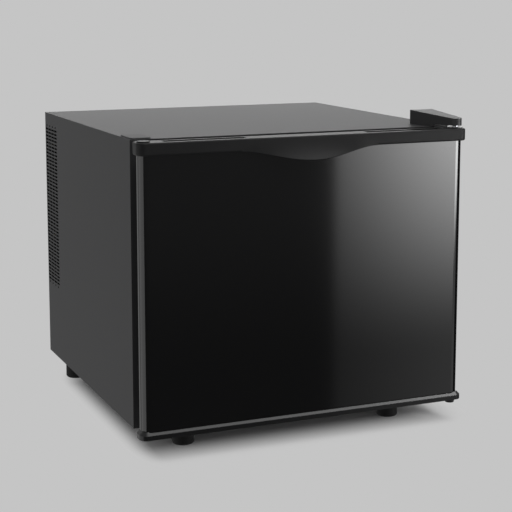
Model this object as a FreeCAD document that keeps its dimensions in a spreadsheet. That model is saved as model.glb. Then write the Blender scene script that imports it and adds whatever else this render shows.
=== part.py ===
import FreeCAD, Part
import Sketcher
import os
from types import SimpleNamespace

# Minibar fridge: a foamed cabinet on four feet, a right-hinged door, a thermoelectric cooler,
# a wire shelf and two door bins. Millimetres, +Z up, the door faces -Y, origin on the floor
# under the middle of the overall box.

SIZES = {
    # Casing
    "cab_width": 380, "cab_depth": 350, "cab_height": 310, "sheet_metal": 0.8,
    "front_flange": 12, "rear_flange": 10, "cover_gap": 0.2, "fit_gap": 0.1, "move_gap": 0.3,
    # Side vents
    "vent_rear_margin": 2, "vent_top_margin": 20.3, "vent_length": 12, "vent_width": 2.5, "dot_length": 4,
    "vent_column_pitch": 13.5, "vent_row_pitch": 4.38, "vent_columns": 4, "vent_rows": 45,
    # Rear vents
    "rear_vent_length": 26, "rear_vent_width": 3.2, "rear_column_pitch": 33, "rear_row_pitch": 9,
    "rear_columns": 6, "rear_rows": 12,
    # Feet
    "foot_height": 30, "foot_radius": 12.5, "foot_round": 3, "stud_radius": 4, "stud_length": 10,
    "front_foot_inset": 63, "front_foot_setback": 20, "rear_foot_inset": 25, "rear_foot_margin": 32,
    # Insulated cavity
    "side_wall": 35, "floor_wall": 30, "roof_wall": 34, "back_wall": 50, "machine_space": 65,
    "liner_wall": 1.5, "rib_width": 9, "rib_height": 3,
    # Screws
    "screw_radius": 2, "screw_head": 2, "screw_head_radius": 4, "screw_length": 10,
    "small_screw_radius": 1.5, "small_head_radius": 2.8,
    "cover_screw_inset": 6, "cover_screw_margin": 40,
    # Cooler
    "cooler_drop": 56, "fin_thickness": 1.5, "fin_pitch": 9, "fin_count": 13, "sink_base": 6,
    "sink_screw_fins": 2, "cold_fin": 18, "cold_height": 84, "hot_fin": 20, "hot_height": 92,
    "block_width": 56, "block_gap": 0.5, "module_width": 40, "module_thick": 4,
    "fan_size": 80, "fan_depth": 15, "fan_bore_radius": 37.5, "fan_hub_radius": 14,
    "blade_reach": 35.5, "blade_count": 7, "blade_thick": 1.5, "blade_tilt": 6, "blade_root": 3,
    "fan_shaft_radius": 1.5, "running_gap": 0.05, "motor_plate": 3, "strut_width": 5,
    # Cooler cover and control
    "fan_cover_width": 190, "fan_cover_height": 98, "fan_cover_depth": 55, "fan_cover_wall": 2,
    "fan_cover_round": 6, "grille_width": 64, "grille_slot": 4, "grille_pitch": 8, "grille_count": 9,
    "outlet_length": 20, "outlet_width": 8, "outlet_pitch": 16, "outlet_count": 7,
    "ear_width": 12, "ear_height": 14, "ear_thick": 3, "ear_offset": 30,
    "dial_inset": 25, "dial_radius": 14, "dial_thick": 9, "dial_shaft_radius": 3, "dial_shaft": 10,
    "dial_taper": 1.2, "dial_mark_width": 2, "dial_mark_start": 4.5, "control_size": 24, "control_depth": 12,
    "lens_inset": 25, "lens_width": 32, "lens_height": 14, "lens_rim": 2, "lens_proud": 1.5,
    # Power board and cord inlet
    "board_width": 90, "board_height": 70, "board_thick": 1.6, "board_inset": 85, "board_rise": 65,
    "standoff": 6, "standoff_radius": 3, "standoff_inset": 5, "coil_width": 34, "coil_height": 30,
    "coil_depth": 26, "capacitor_radius": 6, "capacitor_length": 18,
    "grommet_inset": 40, "grommet_rise": 32, "cord_radius": 3.5, "grommet_radius": 6,
    "grommet_flange": 8.5, "grommet_lip": 2,
    # Hinges
    "hinge_inset": 6, "hinge_reach": 26.5, "hinge_metal": 2.5, "hinge_base_width": 25,
    "hinge_base_depth": 32, "hinge_base_setback": 3, "arm_radius": 5.5, "arm_lift": 4.2,
    "pin_radius": 3, "pin_head_radius": 5, "pin_head": 1.5, "pin_end_gap": 2,
    "bush_radius": 6, "bush_flange_radius": 8, "bush_flange": 1, "bush_floor": 1.5,
    "hinge_screw_margin": 8, "plug_head": 1.2, "plug_head_radius": 6.8, "plug_depth": 9,
    # Hinge covers
    "nose_radius": 7, "cover_wall": 1.5, "cover_rear_height": 16,
    "cover_nose_height": 11, "nose_lift": 3, "cover_side_gap": 1,
    "blank_width": 23, "blank_depth": 38, "blank_height": 1.3, "blank_inset": 2, "blank_round": 4,
    "blank_chamfer": 0.6,
    # Door shell
    "door_overlap": 0.5, "door_front": 36, "skin_depth": 13.4, "skin_round": 11, "door_lift": 6,
    "top_cap_height": 13.5, "bottom_cap_height": 8.5, "cap_overhang": 3, "cap_proud": 2,
    "cap_gap": 14, "cap_corner": 8, "cap_round": 1.5, "cap_under_round": 2, "cap_chamfer": 3.5,
    "trough_inner": 71, "trough_margin": 27, "trough_width": 11, "trough_depth": 6, "trough_setback": 11.5,
    # Handle
    "lip_half": 80, "lip_dip": 11, "lip_flare": 10, "lip_edge": 1.8, "lip_swell": 0.7,
    "lip_round": 0.8, "lip_power": 2, "lip_bow": 0.4, "lip_top": 2, "lip_root": 3, "lip_join": 3.5,
    "finger_half": 58, "finger_base": 34, "finger_floor": 7, "finger_roof": 3,
    "tub_wall": 2,
    # Door inner panel
    "tray_inset": 10.5, "tray_wall": 1.5, "tray_margin": 1.5, "gasket_width": 14, "gasket_inset": 2,
    "gasket_land": 2, "gasket_round": 2, "dike_gap": 7, "dike_wall": 6, "dike_height": 16.5,
    # Bins
    "upper_bin_drop": 44, "upper_bin_height": 57, "lower_bin_rise": 15, "lower_bin_height": 75,
    "bin_back_gap": 2.5, "bin_depth": 65, "bin_wall": 2.5, "bin_round": 8, "bin_gap": 0.5,
    "lug_length": 7.5, "lug_width": 8, "lug_height": 10, "lug_setback": 10.5, "hook_wall": 2, "hook_drop": 18,
    # Shelf
    "shelf_drop": 17, "shelf_start": 75, "shelf_rear_gap": 3, "shelf_side_gap": 2,
    "rod_radius": 2.5, "cross_rod_radius": 2.2, "wire_radius": 1.25, "wire_count": 21,
}

NORMAL = {"XY_Plane": 1, "XZ_Plane": -1, "YZ_Plane": 1}
TINY = 1e-6
SAME_PLACE = 0.01
LIP_STEPS = 6


class Length:
    """A size that keeps its formula in the sheet beside its value."""

    def __init__(self, formula, value):
        self.formula = formula
        self.value = value

    def __add__(self, other):
        return Length(f"({self.formula} + {formula_of(other)})", self.value + value_of(other))

    def __radd__(self, other):
        return self + other

    def __sub__(self, other):
        return Length(f"({self.formula} - {formula_of(other)})", self.value - value_of(other))

    def __rsub__(self, other):
        return -self + other

    def __mul__(self, other):
        return Length(f"({self.formula} * {formula_of(other)})", self.value * value_of(other))

    def __rmul__(self, other):
        return self * other

    def __truediv__(self, other):
        return Length(f"({self.formula} / {formula_of(other)})", self.value / value_of(other))

    def __neg__(self):
        return Length(f"(-1 * {self.formula})", -self.value)


def formula_of(item):
    return item.formula if isinstance(item, Length) else f"{item:g}"


def value_of(item):
    return item.value if isinstance(item, Length) else item


def values(*items):
    return [value_of(item) for item in items]


doc = FreeCAD.newDocument("MinibarFridge")
sheet = doc.addObject("Spreadsheet::Sheet", "Sizes")
for row, (alias, number) in enumerate(SIZES.items(), 1):
    sheet.set(f"A{row}", alias)
    sheet.set(f"B{row}", str(number))
    sheet.setAlias(f"B{row}", alias)
doc.recompute()
d = SimpleNamespace(**{alias: Length(f"Sizes.{alias}", float(sheet.get(alias))) for alias in SIZES})
parts = []

# Planes that several pieces share
half = d.cab_width / 2
inner = half - d.sheet_metal
base_z = d.foot_height
top_z = base_z + d.cab_height
front = (d.door_front + d.cap_proud + d.lip_flare - d.cab_depth - d.screw_head) / 2
rear = front + d.cab_depth
flange_half = half - d.front_flange
cavity_half = half - d.side_wall
cavity_low = base_z + d.floor_wall
cavity_high = top_z - d.roof_wall
foam_back = rear - d.machine_space
cavity_back = foam_back - d.back_wall
cooler_z = cavity_high - d.cooler_drop
fan_cover_front = cavity_back - d.fan_cover_depth
hinge_x = half - d.hinge_inset
hinge_y = front - d.hinge_reach
skin_half = half + d.door_overlap
skin_front = front - d.door_front
skin_back = skin_front + d.skin_depth
skin_low = base_z + d.door_lift
skin_high = top_z - d.top_cap_height
cap_half = skin_half + d.cap_overhang
cap_front = skin_front - d.cap_proud
cap_back = front - d.cap_gap
cap_low = skin_low - d.bottom_cap_height
foam_front = skin_front + d.sheet_metal
tray_half = skin_half - d.tray_inset
tray_face = cap_back + d.tray_wall
tray_low = skin_low + d.tray_margin
tray_high = skin_high - d.tray_margin
dike_half = cavity_half - d.dike_gap
tub_rear = skin_back
finger_rear = tub_rear - d.tub_wall
finger_low = skin_high - d.finger_floor
tub_low = finger_low - d.tub_wall


def notch(half_base, half_top, low):
    """Outline of the finger notch: narrow at its floor and wide at the skin's top edge."""
    return [(-half_base, low), (half_base, low), (half_top, skin_high), (-half_top, skin_high)]


finger_notch = notch(d.finger_base, d.finger_half, finger_low)
tub_notch = notch(d.finger_base + d.tub_wall, d.finger_half + d.tub_wall, tub_low)
shelf_z = cooler_z - d.fan_cover_height / 2 - d.shelf_drop
lens_x = d.lens_inset - d.fan_cover_width / 2
dial_x = d.fan_cover_width / 2 - d.dial_inset
grommet_x, grommet_z = d.grommet_inset - half, base_z + d.grommet_rise
screw_hole = d.screw_radius + d.fit_gap
small_hole = d.small_screw_radius + d.fit_gap
stud_hole = d.stud_radius + d.fit_gap
bush_hole = d.bush_radius + d.running_gap
pin_hole = d.pin_radius + d.running_gap
block_hole = d.block_width / 2 + d.block_gap

# Places of the fasteners
FEET = {
    "foot_front_left": (d.front_foot_inset - half, front + d.front_foot_setback),
    "foot_front_right": (half - d.front_foot_inset, front + d.front_foot_setback),
    "foot_rear_left": (d.rear_foot_inset - half, rear - d.rear_foot_margin),
    "foot_rear_right": (half - d.rear_foot_inset, rear - d.rear_foot_margin),
}
hinge_base = (hinge_x + d.arm_radius - d.hinge_base_width, hinge_x + d.arm_radius)
hinge_base_y = (front + d.hinge_base_setback, front + d.hinge_base_setback + d.hinge_base_depth)
HINGE_SCREWS = [(hinge_x, hinge_base_y[0] + d.hinge_screw_margin),
                (hinge_base[0] + d.hinge_screw_margin, hinge_base_y[1] - d.hinge_screw_margin)]
cover_screw_x = inner - d.cover_screw_inset
cover_screw_heights = (base_z + d.cover_screw_margin, (base_z + top_z) / 2, top_z - d.cover_screw_margin)
COVER_SCREWS = [(side * cover_screw_x, z) for side in (-1, 1) for z in cover_screw_heights]
EAR_SCREWS = [(side * (d.fan_cover_width / 2 + d.ear_width / 2), cooler_z + rise * d.ear_offset)
              for side in (-1, 1) for rise in (-1, 1)]
sink_screw = d.fin_pitch * (d.sink_screw_fins + 0.5)
SINK_SCREWS = [(side * sink_screw, cooler_z + rise * sink_screw) for side in (-1, 1) for rise in (-1, 1)]


def body(label, x=0, y=0, z=0):
    item = doc.addObject("PartDesign::Body", label)
    item.Label = label
    for axis, place in zip("xyz", (x, y, z)):
        item.setExpression(f"Placement.Base.{axis}", formula_of(place))
    return item


def keep(item, label):
    """Names the finished sub-part and puts it on the list that is written out."""
    item.Label = label
    parts.append(item)
    return item


def ordered(one, two):
    return (one, two) if value_of(one) < value_of(two) else (two, one)


def rect(u_span, v_span):
    (left, right), (low, high) = u_span, v_span
    return [(left, low), (right, low), (right, high), (left, high)]


def around(middle, half_size):
    return (middle - half_size, middle + half_size)


def hold(sketch, edge, end, u, v):
    """Ties a sketch point to its two distances from the sketch's origin."""
    for kind, axis, place in (("DistanceX", -2, u), ("DistanceY", -1, v)):
        if abs(value_of(place)) < TINY:
            sketch.addConstraint(Sketcher.Constraint("PointOnObject", edge, end, axis))
            continue
        index = sketch.addConstraint(Sketcher.Constraint(kind, -1, 1, edge, end, value_of(place)))
        sketch.setExpression(f"Constraints[{index}]", formula_of(place))


def draw_outline(sketch, points):
    first = sketch.GeometryCount
    corners = [FreeCAD.Vector(*values(u, v), 0) for u, v in points]
    count = len(corners)
    for index, corner in enumerate(corners):
        sketch.addGeometry(Part.LineSegment(corner, corners[(index + 1) % count]), False)
    for index in range(count):
        after = first + (index + 1) % count
        sketch.addConstraint(Sketcher.Constraint("Coincident", first + index, 2, after, 1))
    for index, (u, v) in enumerate(points):
        hold(sketch, first + index, 1, u, v)


def draw_disc(sketch, u, v, radius):
    circle = Part.Circle(FreeCAD.Vector(*values(u, v), 0), FreeCAD.Vector(0, 0, 1), value_of(radius))
    edge = sketch.addGeometry(circle, False)
    hold(sketch, edge, 3, u, v)
    index = sketch.addConstraint(Sketcher.Constraint("Radius", edge, value_of(radius)))
    sketch.setExpression(f"Constraints[{index}]", formula_of(radius))


def origin_feature(item, role):
    """One of the body's own origin planes or axes."""
    return [feature for feature in item.Origin.OriginFeatures if feature.Role == role][0]


def draw(item, plane, level, loops):
    """A sketch on one of the body's own planes, at a level along that plane's axis.

    A loop is a list of corners, or a (u, v, radius) tuple for a circle.
    """
    sketch = item.newObject("Sketcher::SketchObject", "Sketch")
    sketch.AttachmentSupport = [(origin_feature(item, plane), "")]
    sketch.MapMode = "FlatFace"
    sketch.setExpression("AttachmentOffset.Base.z", formula_of(level * NORMAL[plane]))
    for loop in loops:
        if isinstance(loop, tuple):
            draw_disc(sketch, *loop)
        else:
            draw_outline(sketch, loop)
    return sketch


def pad(item, plane, span, loops):
    low, high = span
    sketch = draw(item, plane, high if plane == "XZ_Plane" else low, loops)
    feature = item.newObject("PartDesign::Pad", "Pad")
    feature.Profile = sketch
    feature.setExpression("Length", formula_of(high - low))
    item.recompute(True)
    return feature


def pocket(item, plane, span, loops):
    """A cut between two levels, which has to take some material away."""
    low, high = span
    before = item.Tip.Shape.Volume
    sketch = draw(item, plane, low if plane == "XZ_Plane" else high, loops)
    feature = item.newObject("PartDesign::Pocket", "Pocket")
    feature.Profile = sketch
    feature.setExpression("Length", formula_of(high - low))
    item.recompute(True)
    if feature.Shape.Volume > before - TINY:
        raise ValueError(f"a pocket in {item.Label} cuts nothing")
    return feature


def revolve(item, plane, points):
    """A full turn of (radius, distance) corners about the upright axis of a sketch on the plane."""
    sketch = draw(item, plane, 0, [points])
    feature = item.newObject("PartDesign::Revolution", "Revolution")
    feature.Profile = sketch
    feature.ReferenceAxis = (sketch, ["V_Axis"])
    feature.Angle = 360
    item.recompute(True)
    return feature


def repeat(item, feature, kind, direction, spread, count):
    """A row (LinearPattern) or ring (PolarPattern) of a feature."""
    pattern = item.newObject(f"PartDesign::{kind}", kind)
    pattern.Originals = [feature]
    if kind == "LinearPattern":
        pattern.Direction = direction
        pattern.setExpression("Length", formula_of(spread))
    else:
        pattern.Axis = direction
        pattern.Angle = spread
    pattern.setExpression("Occurrences", formula_of(count))
    item.Tip = pattern
    item.recompute(True)


def ease(item, kind, size, chosen):
    """A Fillet or Chamfer on the edges of the body that the test picks."""
    base = item.Tip
    edges = [f"Edge{index}" for index, edge in enumerate(base.Shape.Edges, 1) if chosen(edge)]
    feature = item.newObject(f"PartDesign::{kind}", kind)
    feature.Base = (base, edges)
    feature.setExpression("Radius" if kind == "Fillet" else "Size", formula_of(size))
    item.recompute(True)
    return feature


def hollow(item, wall, chosen):
    """Turns the body into a shell of even wall, open at the faces that the test picks."""
    base = item.Tip
    faces = [f"Face{index}" for index, face in enumerate(base.Shape.Faces, 1) if chosen(face)]
    feature = item.newObject("PartDesign::Thickness", "Thickness")
    feature.Base = (base, faces)
    feature.setExpression("Value", formula_of(wall))
    feature.Reversed = True
    item.recompute(True)
    return feature


def along(edge, axis):
    """True for a straight edge along x, y or z."""
    if edge.Curve.TypeId != "Part::GeomLine":
        return False
    return abs(getattr(edge.tangentAt(edge.FirstParameter), axis)) > 1 - TINY


def level(shape, axis, place):
    """True where an edge's or face's middle is at the place."""
    return abs(getattr(shape.CenterOfMass, axis) - value_of(place)) < SAME_PLACE


def upright_corners(item, radius, chosen=lambda edge: True):
    ease(item, "Fillet", radius, lambda edge: along(edge, "z") and chosen(edge))


def box(label, x_span, y_span, z_span):
    item = doc.addObject("Part::Box", label)
    item.Label = label
    for size, (low, high) in zip(("Length", "Width", "Height"), (x_span, y_span, z_span)):
        item.setExpression(size, formula_of(high - low))
    for axis, (low, high) in zip("xyz", (x_span, y_span, z_span)):
        item.setExpression(f"Placement.Base.{axis}", formula_of(low))
    return item


def cylinder(label, axis, place, span, radius):
    """A cylinder along y or z; place holds its other two coordinates."""
    item = doc.addObject("Part::Cylinder", label)
    item.Label = label
    low, high = span
    item.setExpression("Radius", formula_of(radius))
    item.setExpression("Height", formula_of(high - low))
    if axis == "y":
        item.Placement.Rotation = FreeCAD.Rotation(FreeCAD.Vector(1, 0, 0), -90)
    corner = {"z": (place[0], place[1], low), "y": (place[0], low, place[1])}[axis]
    for name, distance in zip("xyz", corner):
        item.setExpression(f"Placement.Base.{name}", formula_of(distance))
    return item


def fused(label, items):
    item = doc.addObject("Part::MultiFuse", label)
    item.Label = label
    item.Shapes = items
    return item


def cut(label, base, tool):
    item = doc.addObject("Part::Cut", label)
    item.Label = label
    item.Base = base
    item.Tool = tool
    return item


def screw(axis, place, seat, way, length, radius, head_radius):
    """A pan-head screw; its head stands on the seat, on the side that way points to."""
    head = cylinder("screw_head", axis, place, ordered(seat, seat + way * d.screw_head), head_radius)
    shank = cylinder("screw_shank", axis, place, ordered(seat, seat - way * length), radius)
    return fused("screw", [head, shank])


def group(label, items):
    item = doc.addObject("Part::Compound", label)
    item.Links = items
    return keep(item, label)


def slot_wire(u, v, length, width):
    """A round-ended slot from u to u + length, centred on v."""
    radius = width / 2
    left, right = u + radius, u + length - radius
    spot = FreeCAD.Vector
    edges = [
        Part.LineSegment(spot(left, v - radius, 0), spot(right, v - radius, 0)),
        Part.Arc(spot(right, v - radius, 0), spot(right + radius, v, 0), spot(right, v + radius, 0)),
        Part.LineSegment(spot(right, v + radius, 0), spot(left, v + radius, 0)),
        Part.Arc(spot(left, v + radius, 0), spot(left - radius, v, 0), spot(left, v - radius, 0)),
    ]
    return Part.Wire([edge.toShape() for edge in edges])


def punched_sheet(label, u_span, v_span, wires, thickness, placement):
    """A flat sheet with its openings, made in its own plane and then placed."""
    corners = [FreeCAD.Vector(*values(u, v), 0) for u, v in rect(u_span, v_span)]
    outline = Part.makePolygon(corners + corners[:1])
    face = Part.Face([outline] + wires, "Part::FaceMakerBullseye")
    item = doc.addObject("Part::Feature", label)
    item.Label = label
    item.Shape = face.extrude(FreeCAD.Vector(0, 0, value_of(thickness)))
    item.Placement = placement
    return item


def circle_wire(u, v, radius):
    circle = Part.Circle(FreeCAD.Vector(*values(u, v), 0), FreeCAD.Vector(0, 0, 1), value_of(radius))
    return Part.Wire(circle.toShape())


def side_vents():
    """Rows of round-ended slots, with a row of short dots above and below them."""
    rows, columns = int(d.vent_rows.value), int(d.vent_columns.value)
    pitch, row_pitch, length = values(d.vent_column_pitch, d.vent_row_pitch, d.vent_length)
    width, dot = values(d.vent_width, d.dot_length)
    start = value_of(rear - d.vent_rear_margin) - (columns - 1) * pitch - length
    bottom = value_of(top_z - d.vent_top_margin) - (rows - 1) * row_pitch
    wires = []
    for row in range(-1, rows + 1):
        short = row in (-1, rows)
        span = dot if short else length
        for column in range(columns):
            left = start + column * pitch + (length - span) / 2
            wires.append(slot_wire(left, bottom + row * row_pitch, span, width))
    return wires


def side_panel(label, side):
    """One pressed side of the casing, with its front and rear return flanges."""
    x_low = ordered(side * half, side * inner)[0]
    turn = FreeCAD.Rotation(FreeCAD.Vector(0, 1, 0), FreeCAD.Vector(0, 0, 1), FreeCAD.Vector(1, 0, 0))
    placement = FreeCAD.Placement(FreeCAD.Vector(value_of(x_low), 0, 0), turn)
    z_span = (base_z, top_z - d.sheet_metal)
    plate = punched_sheet(label + "_plate", (front, rear), z_span, side_vents(), d.sheet_metal, placement)
    front_flange = box(label + "_front_flange", ordered(side * inner, side * flange_half),
                       (front, front + d.sheet_metal), z_span)
    rear_flange = box(label + "_rear_flange", ordered(side * inner, side * (half - d.rear_flange)),
                      (rear - 2 * d.sheet_metal, rear - d.sheet_metal), z_span)
    holes = [cylinder(label + "_hole", "y", place, (rear - 3 * d.sheet_metal, rear), screw_hole)
             for place in COVER_SCREWS if value_of(place[0]) * side > 0]
    drilled = cut(label + "_drilled_flange", rear_flange, fused(label + "_holes", holes))
    keep(fused(label, [plate, front_flange, drilled]), label)


def top_panel():
    item = body("top_panel")
    pad(item, "XY_Plane", (top_z - d.sheet_metal, top_z), [rect((-half, half), (front, rear))])
    pad(item, "XZ_Plane", (front, front + d.sheet_metal),
        [rect((-flange_half, flange_half), (top_z - d.front_flange, top_z - d.sheet_metal))])
    pocket(item, "XY_Plane", (top_z - d.sheet_metal, top_z), [(x, y, screw_hole) for x, y in HINGE_SCREWS])
    keep(item, "top_panel")


def bottom_plate():
    item = body("bottom_plate")
    y_span = (front + d.sheet_metal, rear - 2 * d.sheet_metal)
    z_span = (base_z, base_z + d.sheet_metal)
    pad(item, "XY_Plane", z_span, [rect((-inner, inner), y_span)])
    pad(item, "XZ_Plane", (front, front + d.sheet_metal),
        [rect((-flange_half, flange_half), (base_z, base_z + d.front_flange))])
    holes = [(x, y, screw_hole) for x, y in HINGE_SCREWS] + [(x, y, stud_hole) for x, y in FEET.values()]
    pocket(item, "XY_Plane", z_span, holes)
    keep(item, "bottom_plate")


def rear_cover():
    """A flat vented cover between the side panels, behind the machine space."""
    length, width = values(d.rear_vent_length, d.rear_vent_width)
    columns, rows = int(d.rear_columns.value), int(d.rear_rows.value)
    wires = []
    for column in range(columns):
        for row in range(rows):
            u = (column - (columns - 1) / 2) * d.rear_column_pitch.value - length / 2
            v = cooler_z.value + (row - (rows - 1) / 2) * d.rear_row_pitch.value
            wires.append(slot_wire(u, v, length, width))
    wires += [circle_wire(x, z, screw_hole) for x, z in COVER_SCREWS]
    wires.append(circle_wire(grommet_x, grommet_z, d.grommet_radius + d.fit_gap))
    turn = FreeCAD.Rotation(FreeCAD.Vector(1, 0, 0), FreeCAD.Vector(0, 0, 1), FreeCAD.Vector(0, -1, 0))
    cover_half = inner - d.cover_gap
    item = punched_sheet("rear_cover", (-cover_half, cover_half), (base_z, top_z - d.sheet_metal), wires,
                         d.sheet_metal, FreeCAD.Placement(FreeCAD.Vector(0, rear.value, 0), turn))
    keep(item, "rear_cover")


def cabinet_foam():
    """Foam between casing and liner, open at the front and cut through for the cold block."""
    item = body("cabinet_foam")
    low, high = base_z + d.sheet_metal, top_z - d.sheet_metal
    wall = d.liner_wall
    pad(item, "XZ_Plane", (front + wall, foam_back), [rect((-inner, inner), (low, high))])
    pocket(item, "XZ_Plane", (front + wall, cavity_back + wall),
           [rect((-cavity_half - wall, cavity_half + wall), (cavity_low - wall, cavity_high + wall))])
    pocket(item, "XZ_Plane", (cavity_back + wall, foam_back),
           [rect((-block_hole, block_hole), around(cooler_z, block_hole))])
    depth = d.screw_length - d.sheet_metal + d.fit_gap
    screws = [(x, y, screw_hole) for x, y in HINGE_SCREWS]
    pocket(item, "XY_Plane", (high - depth, high), screws)
    studs = [(x, y, stud_hole) for x, y in FEET.values()]
    pocket(item, "XY_Plane", (low, low + d.stud_length), screws + studs)
    pocket(item, "XZ_Plane", (cavity_back + wall, cavity_back + d.screw_length + d.fit_gap),
           [(x, z, small_hole) for x, z in EAR_SCREWS])
    keep(item, "cabinet_foam")


def cabinet_liner():
    """A formed inner box with a front flange and two pairs of shelf ribs."""
    item = body("cabinet_liner")
    wall = d.liner_wall
    pad(item, "XZ_Plane", (front, front + wall),
        [rect((-flange_half, flange_half), (base_z + d.front_flange, top_z - d.front_flange))])
    pad(item, "XZ_Plane", (front + wall, cavity_back + wall),
        [rect((-cavity_half - wall, cavity_half + wall), (cavity_low - wall, cavity_high + wall))])
    pocket(item, "XZ_Plane", (front, cavity_back),
           [rect((-cavity_half, cavity_half), (cavity_low, cavity_high))])
    rib_top = shelf_z - d.rod_radius - d.move_gap
    rib_bottom = shelf_z + d.rod_radius + d.move_gap
    ribs = [rect(ordered(side * cavity_half, side * (cavity_half - d.rib_width)), span)
            for side in (-1, 1)
            for span in ((rib_top - d.rib_height, rib_top), (rib_bottom, rib_bottom + d.rib_height))]
    pad(item, "XZ_Plane", (front + d.shelf_start, cavity_back), ribs)
    pocket(item, "XZ_Plane", (cavity_back, cavity_back + wall),
           [rect((-block_hole, block_hole), around(cooler_z, block_hole))]
           + [(x, z, small_hole) for x, z in EAR_SCREWS])
    keep(item, "cabinet_liner")


def finned_block(label, base_span, fin_span, height, holes):
    """An extruded heat sink: a base plate with a row of upright fins."""
    item = body(label)
    width = (d.fin_count - 1) * d.fin_pitch
    first = -(width + d.fin_thickness) / 2
    z_span = around(cooler_z, height / 2)
    pad(item, "XZ_Plane", base_span, [rect((first, -first), z_span)])
    if holes:
        pocket(item, "XZ_Plane", base_span, [(x, z, small_hole) for x, z in holes])
    fin = pad(item, "XZ_Plane", fin_span, [rect((first, first + d.fin_thickness), z_span)])
    repeat(item, fin, "LinearPattern", (fin.Profile[0], ["H_Axis"]), width, d.fin_count)
    keep(item, label)


def cooler():
    """Cold sink, cold block, thermoelectric module and hot heat sink, clamped in one line."""
    cold_face = cavity_back - d.sink_base
    cold_fins = (cold_face - d.cold_fin, cold_face)
    finned_block("cold_sink", (cold_face, cavity_back), cold_fins, d.cold_height, [])
    module_front = foam_back - d.module_thick
    block = body("cold_block")
    block_half = d.block_width / 2
    pad(block, "XZ_Plane", (cavity_back, module_front),
        [rect((-block_half, block_half), around(cooler_z, block_half))])
    pocket(block, "XZ_Plane", (module_front - d.screw_length, module_front),
           [(x, z, small_hole) for x, z in SINK_SCREWS])
    keep(block, "cold_block")
    module_half = d.module_width / 2
    module = box("thermoelectric_module", (-module_half, module_half), (module_front, foam_back),
                 around(cooler_z, module_half))
    keep(module, "thermoelectric_module")
    hot_face = foam_back + d.sink_base
    hot_fins = (hot_face, hot_face + d.hot_fin)
    finned_block("hot_heatsink", (foam_back, hot_face), hot_fins, d.hot_height, SINK_SCREWS)
    reach = d.screw_length + d.module_thick + d.sink_base - d.fit_gap
    group("heatsink_screws", [screw("y", place, hot_face, 1, reach, d.small_screw_radius, d.small_head_radius)
                              for place in SINK_SCREWS])
    fan("cold_fan", cold_face - d.cold_fin - d.fan_depth)
    fan("hot_fan", hot_face + d.hot_fin)


def fan(name, near):
    """A square axial fan: a frame with a motor plate on struts, and a bladed rotor on its shaft."""
    far = near + d.fan_depth
    frame = body(name + "_frame")
    size = d.fan_size / 2
    strut = d.strut_width / 2
    reach = (size + d.fan_bore_radius) / 2
    plate = (far - d.motor_plate, far)
    pad(frame, "XZ_Plane", (near, far), [rect((-size, size), around(cooler_z, size))])
    pocket(frame, "XZ_Plane", (near, far), [(0, cooler_z, d.fan_bore_radius)])
    pad(frame, "XZ_Plane", plate, [rect((-reach, reach), around(cooler_z, strut))])
    pad(frame, "XZ_Plane", plate, [rect((-strut, strut), around(cooler_z, reach))])
    pad(frame, "XZ_Plane", plate, [(0, cooler_z, d.fan_hub_radius)])
    pad(frame, "XZ_Plane", (near + d.motor_plate, far - d.motor_plate), [(0, cooler_z, d.fan_shaft_radius)])
    keep(frame, name + "_frame")
    rotor = body(name + "_rotor", 0, near, cooler_z)
    hub = (d.move_gap, d.fan_depth - d.motor_plate - d.move_gap)
    bore = d.fan_shaft_radius + d.running_gap
    pad(rotor, "XZ_Plane", hub, [(0, 0, d.fan_hub_radius)])
    pocket(rotor, "XZ_Plane", (d.motor_plate - d.move_gap, hub[1]), [(0, 0, bore)])
    tilt, thick = d.blade_tilt, d.blade_thick
    section = [(hub[0], -tilt), (hub[0] + thick, -tilt), (hub[1], tilt), (hub[1] - thick, tilt)]
    blade = pad(rotor, "YZ_Plane", (d.fan_hub_radius - d.blade_root, d.blade_reach), [section])
    repeat(rotor, blade, "PolarPattern", (origin_feature(rotor, "Y_Axis"), [""]), 360, d.blade_count)
    keep(rotor, name + "_rotor")


def fan_cover():
    """A moulded cover over the cold fan, with a grille, outlets, screw ears and control openings."""
    item = body("fan_cover")
    width, height = d.fan_cover_width / 2, d.fan_cover_height / 2
    skin = (fan_cover_front, fan_cover_front + d.fan_cover_wall)
    low = cooler_z - height
    pad(item, "XZ_Plane", (fan_cover_front, cavity_back), [rect((-width, width), around(cooler_z, height))])
    ease(item, "Fillet", d.fan_cover_round, lambda edge: level(edge, "y", fan_cover_front))
    hollow(item, d.fan_cover_wall, lambda face: level(face, "y", cavity_back))
    rows = int(d.grille_count.value)
    slots = [rect(around(0, d.grille_width / 2), around(cooler_z + (row - (rows - 1) / 2) * d.grille_pitch,
                                                       d.grille_slot / 2)) for row in range(rows)]
    lens = rect(around(lens_x, d.lens_width / 2), around(cooler_z, d.lens_height / 2))
    dial = (dial_x, cooler_z, d.dial_shaft_radius + d.running_gap)
    pocket(item, "XZ_Plane", skin, slots + [lens, dial])
    count = int(d.outlet_count.value)
    middle = (fan_cover_front + cavity_back) / 2
    outlets = [rect(around((index - (count - 1) / 2) * d.outlet_pitch, d.outlet_width / 2),
                    around(middle, d.outlet_length / 2)) for index in range(count)]
    pocket(item, "XY_Plane", (low, low + d.fan_cover_wall), outlets)
    ears = [rect(ordered(side * width, side * (width + d.ear_width)), around(z, d.ear_height / 2))
            for side in (-1, 1) for z in (cooler_z - d.ear_offset, cooler_z + d.ear_offset)]
    ear_span = (cavity_back - d.ear_thick, cavity_back)
    pad(item, "XZ_Plane", ear_span, ears)
    pocket(item, "XZ_Plane", ear_span, [(x, z, small_hole) for x, z in EAR_SCREWS])
    keep(item, "fan_cover")
    group("fan_cover_screws", [screw("y", place, cavity_back - d.ear_thick, -1, d.screw_length,
                                     d.small_screw_radius, d.small_head_radius) for place in EAR_SCREWS])


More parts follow.
